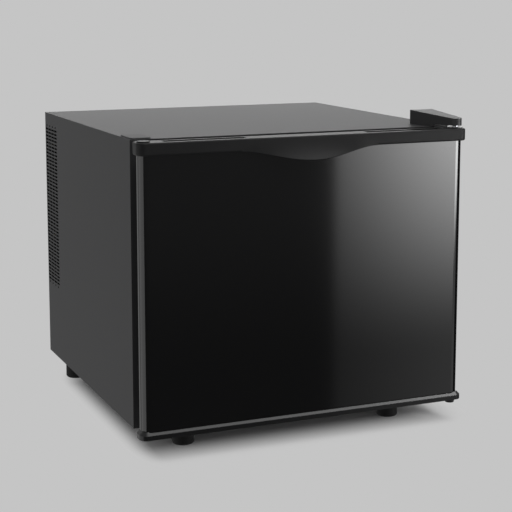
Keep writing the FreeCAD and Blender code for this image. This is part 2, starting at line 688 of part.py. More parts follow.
def lamp_lens():
    """A clear lens pushed through its window from behind, with a rim that stops it."""
    item = body("lamp_lens")
    inside = fan_cover_front + d.fan_cover_wall
    gap = d.fit_gap
    pad(item, "XZ_Plane", (fan_cover_front - d.lens_proud, inside),
        [rect(around(lens_x, d.lens_width / 2 - gap), around(cooler_z, d.lens_height / 2 - gap))])
    pad(item, "XZ_Plane", (inside, inside + d.lens_rim),
        [rect(around(lens_x, d.lens_width / 2 + d.lens_rim),
              around(cooler_z, d.lens_height / 2 + d.lens_rim))])
    keep(item, "lamp_lens")


def thermostat():
    """The control behind the cover, and the dial whose shaft runs into it."""
    inside = fan_cover_front + d.fan_cover_wall
    control = body("thermostat_control")
    size = d.control_size / 2
    span = (inside, inside + d.control_depth)
    pad(control, "XZ_Plane", span, [rect(around(dial_x, size), around(cooler_z, size))])
    pocket(control, "XZ_Plane", span, [(dial_x, cooler_z, d.dial_shaft_radius + d.running_gap)])
    keep(control, "thermostat_control")
    dial = body("thermostat_dial", dial_x, fan_cover_front - d.move_gap, cooler_z)
    grip = d.dial_radius - d.dial_taper
    revolve(dial, "XY_Plane", [(0, -d.dial_thick), (grip, -d.dial_thick), (d.dial_radius, 0),
                               (d.dial_shaft_radius, 0), (d.dial_shaft_radius, d.dial_shaft),
                               (0, d.dial_shaft)])
    mark = around(0, d.dial_mark_width / 2)
    pocket(dial, "XZ_Plane", (-d.dial_thick, d.dial_mark_width / 2 - d.dial_thick),
           [rect(mark, (d.dial_mark_start, d.dial_radius))])
    keep(dial, "thermostat_dial")


def power_board():
    """The circuit board on its standoffs, with its transformer and two capacitors."""
    item = body("power_board")
    near = foam_back + d.standoff
    face = near + d.board_thick
    width, height = d.board_width / 2, d.board_height / 2
    x, z = d.board_inset - half, base_z + d.board_rise
    pad(item, "XZ_Plane", (near, face), [rect(around(x, width), around(z, height))])
    legs = [(x + side * (width - d.standoff_inset), z + rise * (height - d.standoff_inset), d.standoff_radius)
            for side in (-1, 1) for rise in (-1, 1)]
    pad(item, "XZ_Plane", (foam_back, near), legs)
    pad(item, "XZ_Plane", (face, face + d.coil_depth),
        [rect(around(x - width / 2, d.coil_width / 2), around(z, d.coil_height / 2))])
    pad(item, "XZ_Plane", (face, face + d.capacitor_length),
        [(x + width / 2, z + rise * height / 2, d.capacitor_radius) for rise in (-1, 1)])
    keep(item, "power_board")


def cable_grommet():
    """A rubber bush in the rear cover for the supply cord."""
    item = body("cable_grommet", grommet_x, rear, grommet_z)
    inside = -d.sheet_metal
    lip, flange, neck, bore = d.grommet_lip, d.grommet_flange, d.grommet_radius, d.cord_radius
    revolve(item, "XY_Plane", [(bore, inside - lip), (flange, inside - lip), (flange, inside), (neck, inside),
                               (neck, 0), (flange, 0), (flange, lip), (bore, lip)])
    keep(item, "cable_grommet")


def hinge_plate(label, base_span, arm_span):
    """A pressed hinge plate: a tapered base under two screws, a step, and an arm over the pin."""
    item = body(label)
    step_y = (hinge_base_y[0] - d.hinge_metal, hinge_base_y[0])
    arm_x = (hinge_x - d.arm_radius, hinge_x + d.arm_radius)
    low, high = ordered(base_span[0], arm_span[0])[0], ordered(base_span[1], arm_span[1])[1]
    pad(item, "XY_Plane", base_span, [[(arm_x[0], hinge_base_y[0]), (arm_x[1], hinge_base_y[0]),
                                       (hinge_base[1], hinge_base_y[1]), (hinge_base[0], hinge_base_y[1])]])
    pad(item, "XY_Plane", (low, high), [rect(arm_x, step_y)])
    pad(item, "XY_Plane", arm_span, [rect(arm_x, (hinge_y, step_y[0]))])
    pad(item, "XY_Plane", arm_span, [(hinge_x, hinge_y, d.arm_radius)])
    pocket(item, "XY_Plane", arm_span, [(hinge_x, hinge_y, pin_hole)])
    pocket(item, "XY_Plane", base_span, [(x, y, screw_hole) for x, y in HINGE_SCREWS])
    keep(item, label)


def hinges():
    """Both hinge plates with their pins, screws and the bushes in the door caps."""
    metal = d.hinge_metal
    upper_base = (top_z, top_z + metal)
    upper_arm = (top_z + d.arm_lift, top_z + d.arm_lift + metal)
    lower_base = (base_z - metal, base_z)
    flange_low = cap_low - d.bush_flange
    lower_arm = (flange_low - d.move_gap - metal, flange_low - d.move_gap)
    hinge_plate("upper_hinge_plate", upper_base, upper_arm)
    hinge_plate("lower_hinge_plate", lower_base, lower_arm)
    top_floor = skin_high + d.bush_floor
    low_roof = skin_low - d.bush_floor
    pin, head = d.pin_radius, d.pin_head_radius
    upper = body("upper_hinge_pin", hinge_x, hinge_y)
    end = top_floor + d.pin_end_gap
    revolve(upper, "XZ_Plane", [(0, end), (pin, end), (pin, upper_arm[1]), (head, upper_arm[1]),
                                (head, upper_arm[1] + d.pin_head), (0, upper_arm[1] + d.pin_head)])
    keep(upper, "upper_hinge_pin")
    lower = body("lower_hinge_pin", hinge_x, hinge_y)
    end = low_roof - d.pin_end_gap
    revolve(lower, "XZ_Plane", [(0, lower_arm[0] - d.pin_head), (head, lower_arm[0] - d.pin_head),
                                (head, lower_arm[0]), (pin, lower_arm[0]), (pin, end), (0, end)])
    keep(lower, "lower_hinge_pin")
    bush("top_bush", top_floor, top_z, top_z + d.bush_flange)
    bush("bottom_bush", low_roof, cap_low, flange_low)
    screws = [screw("z", place, upper_base[1], 1, d.screw_length, d.screw_radius, d.screw_head_radius)
              for place in HINGE_SCREWS]
    screws += [screw("z", place, lower_base[0], -1, d.screw_length, d.screw_radius, d.screw_head_radius)
               for place in HINGE_SCREWS]
    group("hinge_screws", screws)


def bush(label, end, face, flange_end):
    """A nylon flanged bush pressed into a door cap, running on a hinge pin."""
    item = body(label, hinge_x, hinge_y)
    bore, tube, flange = pin_hole, d.bush_radius, d.bush_flange_radius
    revolve(item, "XZ_Plane", [(bore, end), (tube, end), (tube, face), (flange, face), (flange, flange_end),
                               (bore, flange_end)])
    keep(item, label)


def hinge_hole_plugs():
    """Plugs in the unused hinge holes at the left end of both door caps."""
    plugs = []
    for face, way in ((top_z, 1), (cap_low, -1)):
        depth = d.plug_depth if way > 0 else d.bottom_cap_height - 2 * d.bush_floor
        place = (-hinge_x, hinge_y)
        head = cylinder("plug_head", "z", place, ordered(face, face + way * d.plug_head), d.plug_head_radius)
        stem = cylinder("plug_stem", "z", place, ordered(face, face - way * depth), d.bush_radius)
        plugs.append(fused("plug", [head, stem]))
    group("hinge_hole_plugs", plugs)


def cover_prism(label, grow):
    """The hinge cover's outline in plan and in profile, drawn in by grow to give its inside."""
    back_y = hinge_base_y[1] + d.cover_wall + d.cover_side_gap - grow
    nose = d.nose_radius - grow
    right = hinge_x + nose
    left = hinge_base[0] - d.cover_side_gap - d.cover_wall + grow
    plan = body(label + "_plan")
    z_span = (top_z, top_z + d.cover_rear_height)
    pad(plan, "XY_Plane", z_span,
        [[(hinge_x - nose, hinge_y), (right, hinge_y), (right, back_y), (left, back_y)]])
    pad(plan, "XY_Plane", z_span, [(hinge_x, hinge_y, nose)])
    profile = body(label + "_profile")
    step = front + d.hinge_base_setback - d.hinge_metal - d.cover_wall - d.move_gap + grow
    nose_tip = hinge_y - d.nose_radius
    low = top_z + d.nose_lift
    pad(profile, "YZ_Plane", (left, right), [[(nose_tip, low), (step, low), (step, top_z), (back_y, top_z),
                                              (back_y, top_z + d.cover_rear_height - grow),
                                              (nose_tip, top_z + d.cover_nose_height - grow)]])
    item = doc.addObject("Part::MultiCommon", label)
    item.Shapes = [plan, profile]
    return item


def hinge_covers():
    """The wedge cover over the upper hinge and the flat blank over the unused hinge place."""
    inside = cover_prism("hinge_cover_inside", d.cover_wall)
    keep(cut("upper_hinge_cover", cover_prism("hinge_cover_outside", 0), inside), "upper_hinge_cover")
    blank = body("hinge_blank_cover")
    left = -half + d.blank_inset
    y_low = front + d.hinge_base_setback
    pad(blank, "XY_Plane", (top_z, top_z + d.blank_height),
        [rect((left, left + d.blank_width), (y_low, y_low + d.blank_depth))])
    upright_corners(blank, d.blank_round)
    ease(blank, "Chamfer", d.blank_chamfer, lambda edge: level(edge, "z", top_z + d.blank_height))
    keep(blank, "hinge_blank_cover")


def feet():
    for label, (x, y) in FEET.items():
        item = body(label, x, y)
        stud_top = base_z + d.stud_length
        revolve(item, "XZ_Plane", [(0, 0), (d.foot_radius, 0), (d.foot_radius, base_z),
                                   (d.stud_radius, base_z), (d.stud_radius, stud_top), (0, stud_top)])
        ease(item, "Fillet", d.foot_round, lambda edge: level(edge, "z", 0))
        keep(item, label)


def wire_shelf():
    """A welded grid: a frame of rods with wires from front to back, resting on the liner's ribs."""
    item = body("wire_shelf")
    side_x = cavity_half - d.shelf_side_gap - d.rod_radius
    near = front + d.shelf_start
    far = cavity_back - d.shelf_rear_gap
    rod, wire = d.rod_radius, d.wire_radius
    pad(item, "XZ_Plane", (near, far), [(-side_x, shelf_z, rod)])
    for y in (near + rod, far - rod):
        pad(item, "YZ_Plane", (-side_x, side_x), [(y, shelf_z, d.cross_rod_radius)])
    pad(item, "XZ_Plane", (near, far), [(side_x, shelf_z, rod)])
    row = 2 * side_x * (d.wire_count - 1) / (d.wire_count + 1)
    line = pad(item, "XZ_Plane", (near + rod, far - rod), [(-row / 2, shelf_z, wire)])
    repeat(item, line, "LinearPattern", (line.Profile[0], ["H_Axis"]), row, d.wire_count)
    keep(item, "wire_shelf")


def door_skin():
    """A folded steel front with wrapped sides, return flanges and a notch behind the handle lip."""
    item = body("door_skin")
    z_span = (skin_low, skin_high)
    pad(item, "XY_Plane", z_span, [rect((-skin_half, skin_half), (skin_front, skin_back))])
    upright_corners(item, d.skin_round, lambda edge: level(edge, "y", skin_front))
    hollow(item, d.sheet_metal, lambda face: level(face, "y", skin_back) or level(face, "z", skin_low)
           or level(face, "z", skin_high))
    inside = skin_half - d.sheet_metal
    returns = [rect(ordered(side * inside, side * (tray_half - d.tray_wall)), z_span) for side in (-1, 1)]
    pad(item, "XZ_Plane", (skin_back - d.sheet_metal, skin_back), returns)
    pocket(item, "XZ_Plane", (skin_front, foam_front), [finger_notch])
    keep(item, "door_skin")


def door_foam():
    """Foam that fills the skin and the back of the inner panel, notched for the finger tub."""
    item = body("door_foam")
    inside = skin_half - d.sheet_metal
    middle = skin_back - d.sheet_metal
    pad(item, "XY_Plane", (skin_low, skin_high), [rect((-inside, inside), (foam_front, middle))])
    upright_corners(item, d.skin_round - d.sheet_metal, lambda edge: level(edge, "y", foam_front))
    tray = tray_half - d.tray_wall
    pad(item, "XZ_Plane", (middle, cap_back),
        [rect((-tray, tray), (tray_low + d.tray_wall, tray_high - d.tray_wall))])
    pocket(item, "XZ_Plane", (foam_front, tub_rear), [tub_notch])
    keep(item, "door_foam")


def door_liner():
    """The inner panel: a shallow tray with a raised dike and four lugs that carry the bins."""
    item = body("door_liner")
    pad(item, "XZ_Plane", (cap_back, tray_face), [rect((-tray_half, tray_half), (tray_low, tray_high))])
    wall = d.tray_wall
    pad(item, "XZ_Plane", (skin_back, cap_back),
        [rect((-tray_half, tray_half), (tray_low, tray_high)),
         rect((wall - tray_half, tray_half - wall), (tray_low + wall, tray_high - wall))])
    low, high = cavity_low + d.dike_gap, cavity_high - d.dike_gap
    pad(item, "XZ_Plane", (tray_face, tray_face + d.dike_height),
        [rect((-dike_half, dike_half), (low, high)),
         rect((d.dike_wall - dike_half, dike_half - d.dike_wall), (low + d.dike_wall, high - d.dike_wall))])
    lug_y = lug_span()
    for low_edge, height in BINS.values():
        top = low_edge + height - d.bin_wall - d.move_gap
        pad(item, "XZ_Plane", lug_y,
            [rect(ordered(side * (dike_half - d.dike_wall), side * (dike_half - d.dike_wall - d.lug_length)),
                  (top - d.lug_height, top)) for side in (-1, 1)])
    keep(item, "door_liner")


def lug_span():
    """Front and rear faces of the bin lugs."""
    return around(tray_face + d.lug_setback, d.lug_width / 2)


def door_gasket():
    """A soft magnetic seal, a hair's breadth off the cabinet's front when the door is shut."""
    item = body("door_gasket")
    outer_x = tray_half - d.gasket_inset
    inner_x = outer_x - d.gasket_width
    low, high = cavity_low - d.gasket_land, cavity_high + d.gasket_land
    wide = d.gasket_width
    pad(item, "XZ_Plane", (tray_face, front - d.move_gap),
        [rect((-outer_x, outer_x), (low - wide, high + wide)), rect((-inner_x, inner_x), (low, high))])
    ease(item, "Fillet", d.gasket_round, lambda edge: level(edge, "y", front - d.move_gap))
    keep(item, "door_gasket")


def door_bottom_cap():
    item = body("door_bottom_cap")
    pad(item, "XY_Plane", (cap_low, skin_low), [rect((-cap_half, cap_half), (cap_front, cap_back))])
    upright_corners(item, d.cap_corner)
    ease(item, "Chamfer", d.cap_chamfer, lambda edge: along(edge, "x") and level(edge, "z", skin_low)
         and level(edge, "y", cap_front))
    holes = [(side * hinge_x, hinge_y, bush_hole) for side in (-1, 1)]
    pocket(item, "XY_Plane", (cap_low, skin_low - d.bush_floor), holes)
    keep(item, "door_bottom_cap")


def lip_section(x):
    """The handle lip's outline across X: it hangs lowest and reaches furthest out at mid width."""
    share = x / value_of(d.lip_half)
    swell = max(0.0, 1 - share * share) ** value_of(d.lip_power)
    face, low, back = values(cap_front, skin_high, cap_front + d.lip_root)
    top = value_of(top_z - d.lip_top)
    flare, dip, edge, extra, bulge = values(d.lip_flare, d.lip_dip, d.lip_edge, d.lip_swell, d.lip_round)
    tip_y, tip_z = face - flare * swell, low - dip * swell
    heel_y = tip_y + edge + extra * swell
    root_z = low + value_of(d.lip_join)
    spot = FreeCAD.Vector
    bow_y = face - value_of(d.lip_bow) * flare * swell
    outer = Part.BSplineCurve()
    outer.interpolate([spot(x, face, top), spot(x, bow_y, (top + tip_z) / 2), spot(x, tip_y, tip_z)])
    under = Part.BSplineCurve()
    under.interpolate([spot(x, tip_y, tip_z), spot(x, (tip_y + heel_y) / 2, tip_z - bulge * swell),
                       spot(x, heel_y, tip_z)])
    edges = [outer.toShape(), under.toShape(),
             Part.LineSegment(spot(x, heel_y, tip_z), spot(x, back, root_z)).toShape(),
             Part.LineSegment(spot(x, back, root_z), spot(x, back, top)).toShape(),
             Part.LineSegment(spot(x, back, top), spot(x, face, top)).toShape()]
    return Part.Wire(edges)


def handle_lip():
    lip = doc.addObject("Part::Feature", "handle_lip")
    sections = [lip_section(value_of(d.lip_half) * step / LIP_STEPS)
                for step in range(-LIP_STEPS, LIP_STEPS + 1)]
    lip.Shape = Part.makeLoft(sections, True)
    return lip


def door_top_cap():
    """The moulded top of the door: a bar with two troughs, room for the fingers and the flared handle lip."""
    item = body("top_cap_bar")
    pad(item, "XY_Plane", (skin_high, top_z), [rect((-cap_half, cap_half), (cap_front, cap_back))])
    upright_corners(item, d.cap_corner)
    ease(item, "Fillet", d.cap_round, lambda edge: level(edge, "z", top_z))
    ease(item, "Fillet", d.cap_under_round, lambda edge: level(edge, "z", skin_high))
    trough_y = around(cap_back - d.trough_setback, d.trough_width / 2)
    trough_end = half - d.trough_margin
    pocket(item, "XY_Plane", (top_z - d.trough_depth, top_z),
           [rect(ordered(side * d.trough_inner, side * trough_end), trough_y) for side in (-1, 1)])
    holes = [(side * hinge_x, hinge_y, bush_hole) for side in (-1, 1)]
    pocket(item, "XY_Plane", (skin_high + d.bush_floor, top_z), holes)
    for near, roof in ((cap_front + d.lip_root, top_z - d.finger_roof), (cap_front, skin_high + d.lip_join)):
        pocket(item, "XZ_Plane", (near, finger_rear), [rect(around(0, d.finger_half), (skin_high, roof))])
    keep(fused("door_top_cap", [item, handle_lip()]), "door_top_cap")


def finger_tub():
    """A moulded tub let into the door's foam under the top cap, open at the skin's notch."""
    item = body("finger_tub")
    pad(item, "XZ_Plane", (foam_front, tub_rear), [tub_notch])
    pocket(item, "XZ_Plane", (foam_front, finger_rear), [finger_notch])
    keep(item, "finger_tub")


def door_bin(label, low, height):
    """A moulded bin with a hook on each side that hangs over a lug of the door's inner panel."""
    item = body(label)
    high = low + height
    bin_half = dike_half - d.dike_wall - d.lug_length - d.bin_gap
    back = tray_face + d.bin_back_gap
    pad(item, "XY_Plane", (low, high), [rect((-bin_half, bin_half), (back, back + d.bin_depth))])
    upright_corners(item, d.bin_round)
    hollow(item, d.bin_wall, lambda face: level(face, "z", high))
    near, far = lug_span()
    gap, wall = d.move_gap, d.hook_wall
    foot = high - d.hook_drop
    hook = [(near - gap - wall, foot), (near - gap, foot), (near - gap, high - d.bin_wall),
            (far + gap, high - d.bin_wall), (far + gap, foot), (far + gap + wall, foot),
            (far + gap + wall, high), (near - gap - wall, high)]
    reach = dike_half - d.dike_wall - d.bin_gap
    for side in (-1, 1):
        pad(item, "YZ_Plane", ordered(side * bin_half, side * reach), [hook])
    keep(item, label)


BINS = {
    "upper_bin": (cavity_high - d.upper_bin_drop - d.upper_bin_height, d.upper_bin_height),
    "lower_bin": (cavity_low + d.lower_bin_rise, d.lower_bin_height),
}

side_panel("left_side_panel", -1)
side_panel("right_side_panel", 1)
top_panel()
bottom_plate()
rear_cover()
group("rear_cover_screws", [screw("y", place, rear, 1, d.screw_length, d.screw_radius, d.screw_head_radius)
                            for place in COVER_SCREWS])
cabinet_foam()
cabinet_liner()
cooler()
fan_cover()
lamp_lens()
thermostat()
power_board()
cable_grommet()
hinges()
hinge_hole_plugs()
hinge_covers()
feet()
wire_shelf()
door_skin()
door_foam()
door_liner()
door_gasket()
door_bottom_cap()
door_top_cap()
finger_tub()
for name, (low, height) in BINS.items():
    door_bin(name, low, height)
doc.recompute()

for item in doc.Objects:
    if "Invalid" in item.State or "Error" in item.State:
        raise RuntimeError(f"{item.Label} failed to build")
for item in parts:
    if item.Shape.isNull() or not item.Shape.isValid():
        raise RuntimeError(f"{item.Label} has no valid shape")
os.makedirs("parts", exist_ok=True)
for item in parts:
    item.Shape.exportStep(os.path.join("parts", item.Label + ".step"))
print(len(parts), "sub-parts written")
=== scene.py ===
import math

import bmesh
import bpy
from mathutils import Matrix, Vector


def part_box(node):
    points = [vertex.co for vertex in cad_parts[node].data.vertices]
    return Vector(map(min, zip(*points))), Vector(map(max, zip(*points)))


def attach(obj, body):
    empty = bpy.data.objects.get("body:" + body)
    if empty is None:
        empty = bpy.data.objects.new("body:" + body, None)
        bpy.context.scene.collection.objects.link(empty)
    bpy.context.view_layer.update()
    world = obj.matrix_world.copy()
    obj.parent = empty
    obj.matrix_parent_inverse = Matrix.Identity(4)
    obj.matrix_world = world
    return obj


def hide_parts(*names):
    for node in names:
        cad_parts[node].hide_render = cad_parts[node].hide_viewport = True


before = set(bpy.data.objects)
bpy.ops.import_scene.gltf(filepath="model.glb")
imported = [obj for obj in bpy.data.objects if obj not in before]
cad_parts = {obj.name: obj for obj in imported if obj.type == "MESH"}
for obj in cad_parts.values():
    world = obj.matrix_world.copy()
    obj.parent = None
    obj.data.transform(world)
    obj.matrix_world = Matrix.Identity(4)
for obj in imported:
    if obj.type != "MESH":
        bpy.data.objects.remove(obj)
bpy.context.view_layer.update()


# Steel casing: two pressed sides, a top, a bottom plate and a flat rear cover in 0.8 mm sheet.
# They are powder coated in dark grey satin, which leaves a very fine even grain, and the folded
# edges are slightly rounded.
def finish(name, colour, roughness, grain, relief, tint=0.08, edge=0.0, **sockets):
    """A finish whose colour, gloss and relief follow one fine grain; grain and relief are in metres."""
    material = bpy.data.materials.new(name)
    material.use_nodes = True
    nodes, links = material.node_tree.nodes, material.node_tree.links
    shader = nodes["Principled BSDF"]
    place = nodes.new("ShaderNodeTexCoord")
    noise = nodes.new("ShaderNodeTexNoise")
    noise.inputs["Scale"].default_value = 1 / grain
    noise.inputs["Detail"].default_value = 3
    links.new(place.outputs["Object"], noise.inputs["Vector"])
    shade = nodes.new("ShaderNodeMix")
    shade.data_type = "RGBA"
    shade.inputs["A"].default_value = [channel * (1 - tint) for channel in colour] + [1]
    shade.inputs["B"].default_value = [channel * (1 + tint) for channel in colour] + [1]
    links.new(noise.outputs["Fac"], shade.inputs["Factor"])
    links.new(shade.outputs["Result"], shader.inputs["Base Color"])
    gloss = nodes.new("ShaderNodeMapRange")
    gloss.inputs["To Min"].default_value = roughness * (1 - tint)
    gloss.inputs["To Max"].default_value = roughness * (1 + tint)
    links.new(noise.outputs["Fac"], gloss.inputs["Value"])
    links.new(gloss.outputs["Result"], shader.inputs["Roughness"])
    bump = nodes.new("ShaderNodeBump")
    bump.inputs["Distance"].default_value = relief
    links.new(noise.outputs["Fac"], bump.inputs["Height"])
    links.new(bump.outputs["Normal"], shader.inputs["Normal"])
    if edge:
        rounding = nodes.new("ShaderNodeBevel")
        rounding.inputs["Radius"].default_value = edge
        links.new(rounding.outputs["Normal"], bump.inputs["Normal"])
    for socket, value in sockets.items():
        shader.inputs[socket.replace("_", " ")].default_value = value
    return material


def dress(material, *names):
    """Gives CAD nodes their finish."""
    for name in names:
        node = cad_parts[name]
        node.data.materials.clear()
        node.data.materials.append(material)


casing_paint = finish("casing_paint", (0.018, 0.018, 0.019), roughness=0.55, grain=0.0007,
                      relief=0.00002, edge=0.0008, Specular_IOR_Level=0.28)
dress(casing_paint, "left_side_panel", "right_side_panel", "top_panel", "bottom_plate", "rear_cover")


# Rear cover screws: zinc plated pan-head screws with a cross recess, driven through the rear cover
# into the flanges of the side panels.
zinc = finish("zinc_plate", (0.56, 0.57, 0.6), roughness=0.34, grain=0.0025, relief=0.00002, tint=0.14,
              Metallic=1.0)


def pan_screw(head_radius, head_height, shank_radius, shank_length):
    """One screw along +Z with its seat at z = 0, as a mesh with a cross recess in its domed head."""
    round_steps, dome_steps, rim, weld = 28, 6, 0.35, 1e-6
    dome_turns = [step * math.pi / 2 / dome_steps for step in range(dome_steps + 1)]
    dome = [(head_radius * math.cos(turn), head_height * (rim + (1 - rim) * math.sin(turn)))
            for turn in dome_turns]
    outline = [(0.0, -shank_length), (shank_radius, -shank_length), (shank_radius, 0.0), (head_radius, 0.0)]
    outline += dome[:-1] + [(0.0, dome[-1][1])]
    mesh = bmesh.new()
    line = [mesh.verts.new((radius, 0, z)) for radius, z in outline]
    edges = [mesh.edges.new(pair) for pair in zip(line, line[1:])]
    bmesh.ops.spin(mesh, geom=line + edges, axis=(0, 0, 1), cent=(0, 0, 0), angle=math.tau,
                   steps=round_steps, use_merge=True)
    bmesh.ops.remove_doubles(mesh, verts=mesh.verts, dist=weld)
    bmesh.ops.recalc_face_normals(mesh, faces=mesh.faces)
    body = bpy.data.meshes.new("screw")
    mesh.to_mesh(body)
    mesh.free()
    screw = bpy.data.objects.new("screw", body)
    bpy.context.scene.collection.objects.link(screw)
    cross = bmesh.new()
    arm, blade, depth = head_radius * 1.1, head_radius * 0.26, head_height * 0.6
    for length, width in ((arm, blade), (blade, arm)):
        size = Matrix.Diagonal((length, width, depth * 2, 1))
        bmesh.ops.create_cube(cross, size=1, matrix=Matrix.Translation((0, 0, head_height)) @ size)
    tool_mesh = bpy.data.meshes.new("cross")
    cross.to_mesh(tool_mesh)
    cross.free()
    tool = bpy.data.objects.new("cross", tool_mesh)
    bpy.context.scene.collection.objects.link(tool)
    recess = screw.modifiers.new("recess", "BOOLEAN")
    recess.object = tool
    recess.solver = "EXACT"
    recess.use_self = True
    ready = bpy.data.meshes.new_from_object(screw.evaluated_get(bpy.context.evaluated_depsgraph_get()))
    bpy.data.objects.remove(screw)
    bpy.data.objects.remove(tool)
    return ready


def screw_set(name, one, places, turn):
    """Copies one screw to all its places, turned to stand out of its seat, each cross at its own angle."""
    cross_step = 0.7
    mesh = bmesh.new()
    for index, place in enumerate(places):
        own = one.copy()
        spin = Matrix.Rotation(index * cross_step, 4, "Z")
        own.transform(Matrix.Translation(place) @ turn @ spin)
        mesh.from_mesh(own)
        bpy.data.meshes.remove(own)
    joined = bpy.data.meshes.new(name)
    mesh.to_mesh(joined)
    mesh.free()
    joined.materials.append(zinc)
    piece = bpy.data.objects.new(name, joined)
    bpy.context.scene.collection.objects.link(piece)
    return piece


out_of_back = Matrix.Rotation(-math.pi / 2, 4, "X")
low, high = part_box("rear_cover_screws")
rear_head, rear_rise, rear_shank, rear_reach = 0.004, 0.002, 0.002, 0.0099
rear_rows = (low.z + rear_head, (low.z + high.z) / 2, high.z - rear_head)
rear_columns = (low.x + rear_head, high.x - rear_head)
rear_places = [(x, high.y - rear_rise, z) for x in rear_columns for z in rear_rows]
rear_screw = pan_screw(rear_head, rear_rise, rear_shank, rear_reach)
rear_screws = screw_set("rear_cover_pan_screws", rear_screw, rear_places, out_of_back)
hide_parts("rear_cover_screws")
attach(rear_screws, "cabinet")


# Insulation: rigid polyurethane foam blown between casing and liner, and inside the door.
# It is straw coloured and cellular, and only shows through the vents at the rear and sides.
foam = finish("cut_foam", (0.56, 0.48, 0.32), roughness=0.9, grain=0.0018, relief=0.0004, tint=0.2)
dress(foam, "cabinet_foam", "door_foam")


# Liners: thin white polystyrene sheet, vacuum formed into the cabinet's inner box and the door's
# inner panel, with a faint ripple from the forming and a soft gloss.
liner_white = finish("liner_white", (0.76, 0.77, 0.78), roughness=0.33, grain=0.012, relief=0.00008,
                     tint=0.02)
dress(liner_white, "cabinet_liner", "door_liner")


# Cooler: extruded aluminium sinks with upright fins on both sides of a ceramic module, clamped by
# small zinc plated screws. The extrusion leaves fine lines along the fins.
def drawn_metal(name, colour, roughness, line, relief, axis):
    """Bare metal with fine lines along one axis from the die or the brush."""
    material = finish(name, colour, roughness, line, relief, tint=0.1, Metallic=1.0)
    nodes, links = material.node_tree.nodes, material.node_tree.links
    line_scale = 0.02
    stretch = nodes.new("ShaderNodeMapping")
    stretch.inputs["Scale"].default_value["XYZ".index(axis)] = line_scale
    links.new(nodes["Texture Coordinate"].outputs["Object"], stretch.inputs["Vector"])
    links.new(stretch.outputs["Vector"], nodes["Noise Texture"].inputs["Vector"])
    return material


extrusion = drawn_metal("extruded_aluminium", (0.66, 0.67, 0.69), roughness=0.38, line=0.0009,
                        relief=0.00003, axis="Z")
dress(extrusion, "cold_sink", "cold_block", "hot_heatsink")
dress(zinc, "heatsink_screws")
alumina = finish("module_ceramic", (0.83, 0.83, 0.8), roughness=0.55, grain=0.0008, relief=0.00001,
                 tint=0.03)
dress(alumina, "thermoelectric_module")


# Fans: square axial fans in black glass-filled plastic, one behind the inner cover and one on the
# hot sink, each with a bladed rotor on a short shaft.
fan_black = finish("fan_plastic", (0.02, 0.02, 0.021), roughness=0.48, grain=0.0006, relief=0.00003,
                   tint=0.15)
dress(fan_black, "cold_fan_frame", "cold_fan_rotor", "hot_fan_frame", "hot_fan_rotor")


# Inner cover: a satin white moulding with a grille over the cold fan, outlets below, four screw
# ears, a lamp window and the dial's place. Its screws are zinc plated pan heads.
cover_white = finish("cover_white", (0.74, 0.75, 0.76), roughness=0.42, grain=0.0008, relief=0.00002,
                     tint=0.02, edge=0.0006)
dress(cover_white, "fan_cover")
low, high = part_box("fan_cover_screws")
ear_head, ear_rise, ear_shank, ear_reach = 0.0028, 0.002, 0.0015, 0.0099
ear_places = [(x, low.y + ear_rise, z) for x in (low.x + ear_head, high.x - ear_head)
              for z in (low.z + ear_head, high.z - ear_head)]
out_of_front = Matrix.Rotation(math.pi / 2, 4, "X")
ear_screw = pan_screw(ear_head, ear_rise, ear_shank, ear_reach)
ear_screws = screw_set("fan_cover_pan_screws", ear_screw, ear_places, out_of_front)
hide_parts("fan_cover_screws")
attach(ear_screws, "cabinet")


# Lamp lens: a small window of frosted clear acrylic that spreads the light of the compartment.
# It is moulded in one piece and pushed through the inner cover from behind.
lens = finish("lens_frosted", (0.86, 0.86, 0.83), roughness=0.28, grain=0.0012, relief=0.00005,
              tint=0.03, Transmission_Weight=0.55, IOR=1.49)
dress(lens, "lamp_lens")


# Thermostat: a white dial with a pointer slot, on the shaft of a black control behind the cover.
# A printed wedge of ticks on the cover grows towards the cold end.
dress(fan_black, "thermostat_control")
dial_white = finish("dial_white", (0.7, 0.71, 0.72), roughness=0.36, grain=0.0007, relief=0.00001,
                    tint=0.02, edge=0.0005)
dress(dial_white, "thermostat_dial")
low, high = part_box("thermostat_dial")
dial_x, dial_z, dial_radius = (low.x + high.x) / 2, (low.z + high.z) / 2, (high.x - low.x) / 2
face_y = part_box("fan_cover")[0].y
tick_count, tick_sweep = 13, math.radians(270)
tick_width, tick_print, tick_gap = 0.0009, 0.00012, 0.0016
shortest_tick, tick_growth = 0.0014, 0.0028
dial_middle = Matrix.Translation((dial_x, face_y, dial_z))
ticks = bmesh.new()
for index in range(tick_count):
    share = index / (tick_count - 1)
    turn = Matrix.Rotation((share - 0.5) * tick_sweep, 4, "Y")
    length = shortest_tick + tick_growth * share
    stand = Matrix.Translation((0, 0, dial_radius + tick_gap + length / 2))
    size = Matrix.Diagonal((tick_width, tick_print * 2, length, 1))
    bmesh.ops.create_cube(ticks, size=1, matrix=dial_middle @ turn @ stand @ size)
scale_mesh = bpy.data.meshes.new("dial_scale")
ticks.to_mesh(scale_mesh)
ticks.free()
scale_print = finish("scale_print", (0.05, 0.07, 0.11), roughness=0.6, grain=0.0004, relief=0.000005)
scale_mesh.materials.append(scale_print)
dial_scale = bpy.data.objects.new("dial_scale", scale_mesh)
bpy.context.scene.collection.objects.link(dial_scale)
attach(dial_scale, "cabinet")


# Power board: a green circuit board on standoffs with its transformer and two capacitors, behind
# the rear cover. Only glimpses of it show through the vents.
board_green = finish("board_green", (0.03, 0.12, 0.06), roughness=0.4, grain=0.003, relief=0.0001,
                     tint=0.5)
dress(board_green, "power_board")


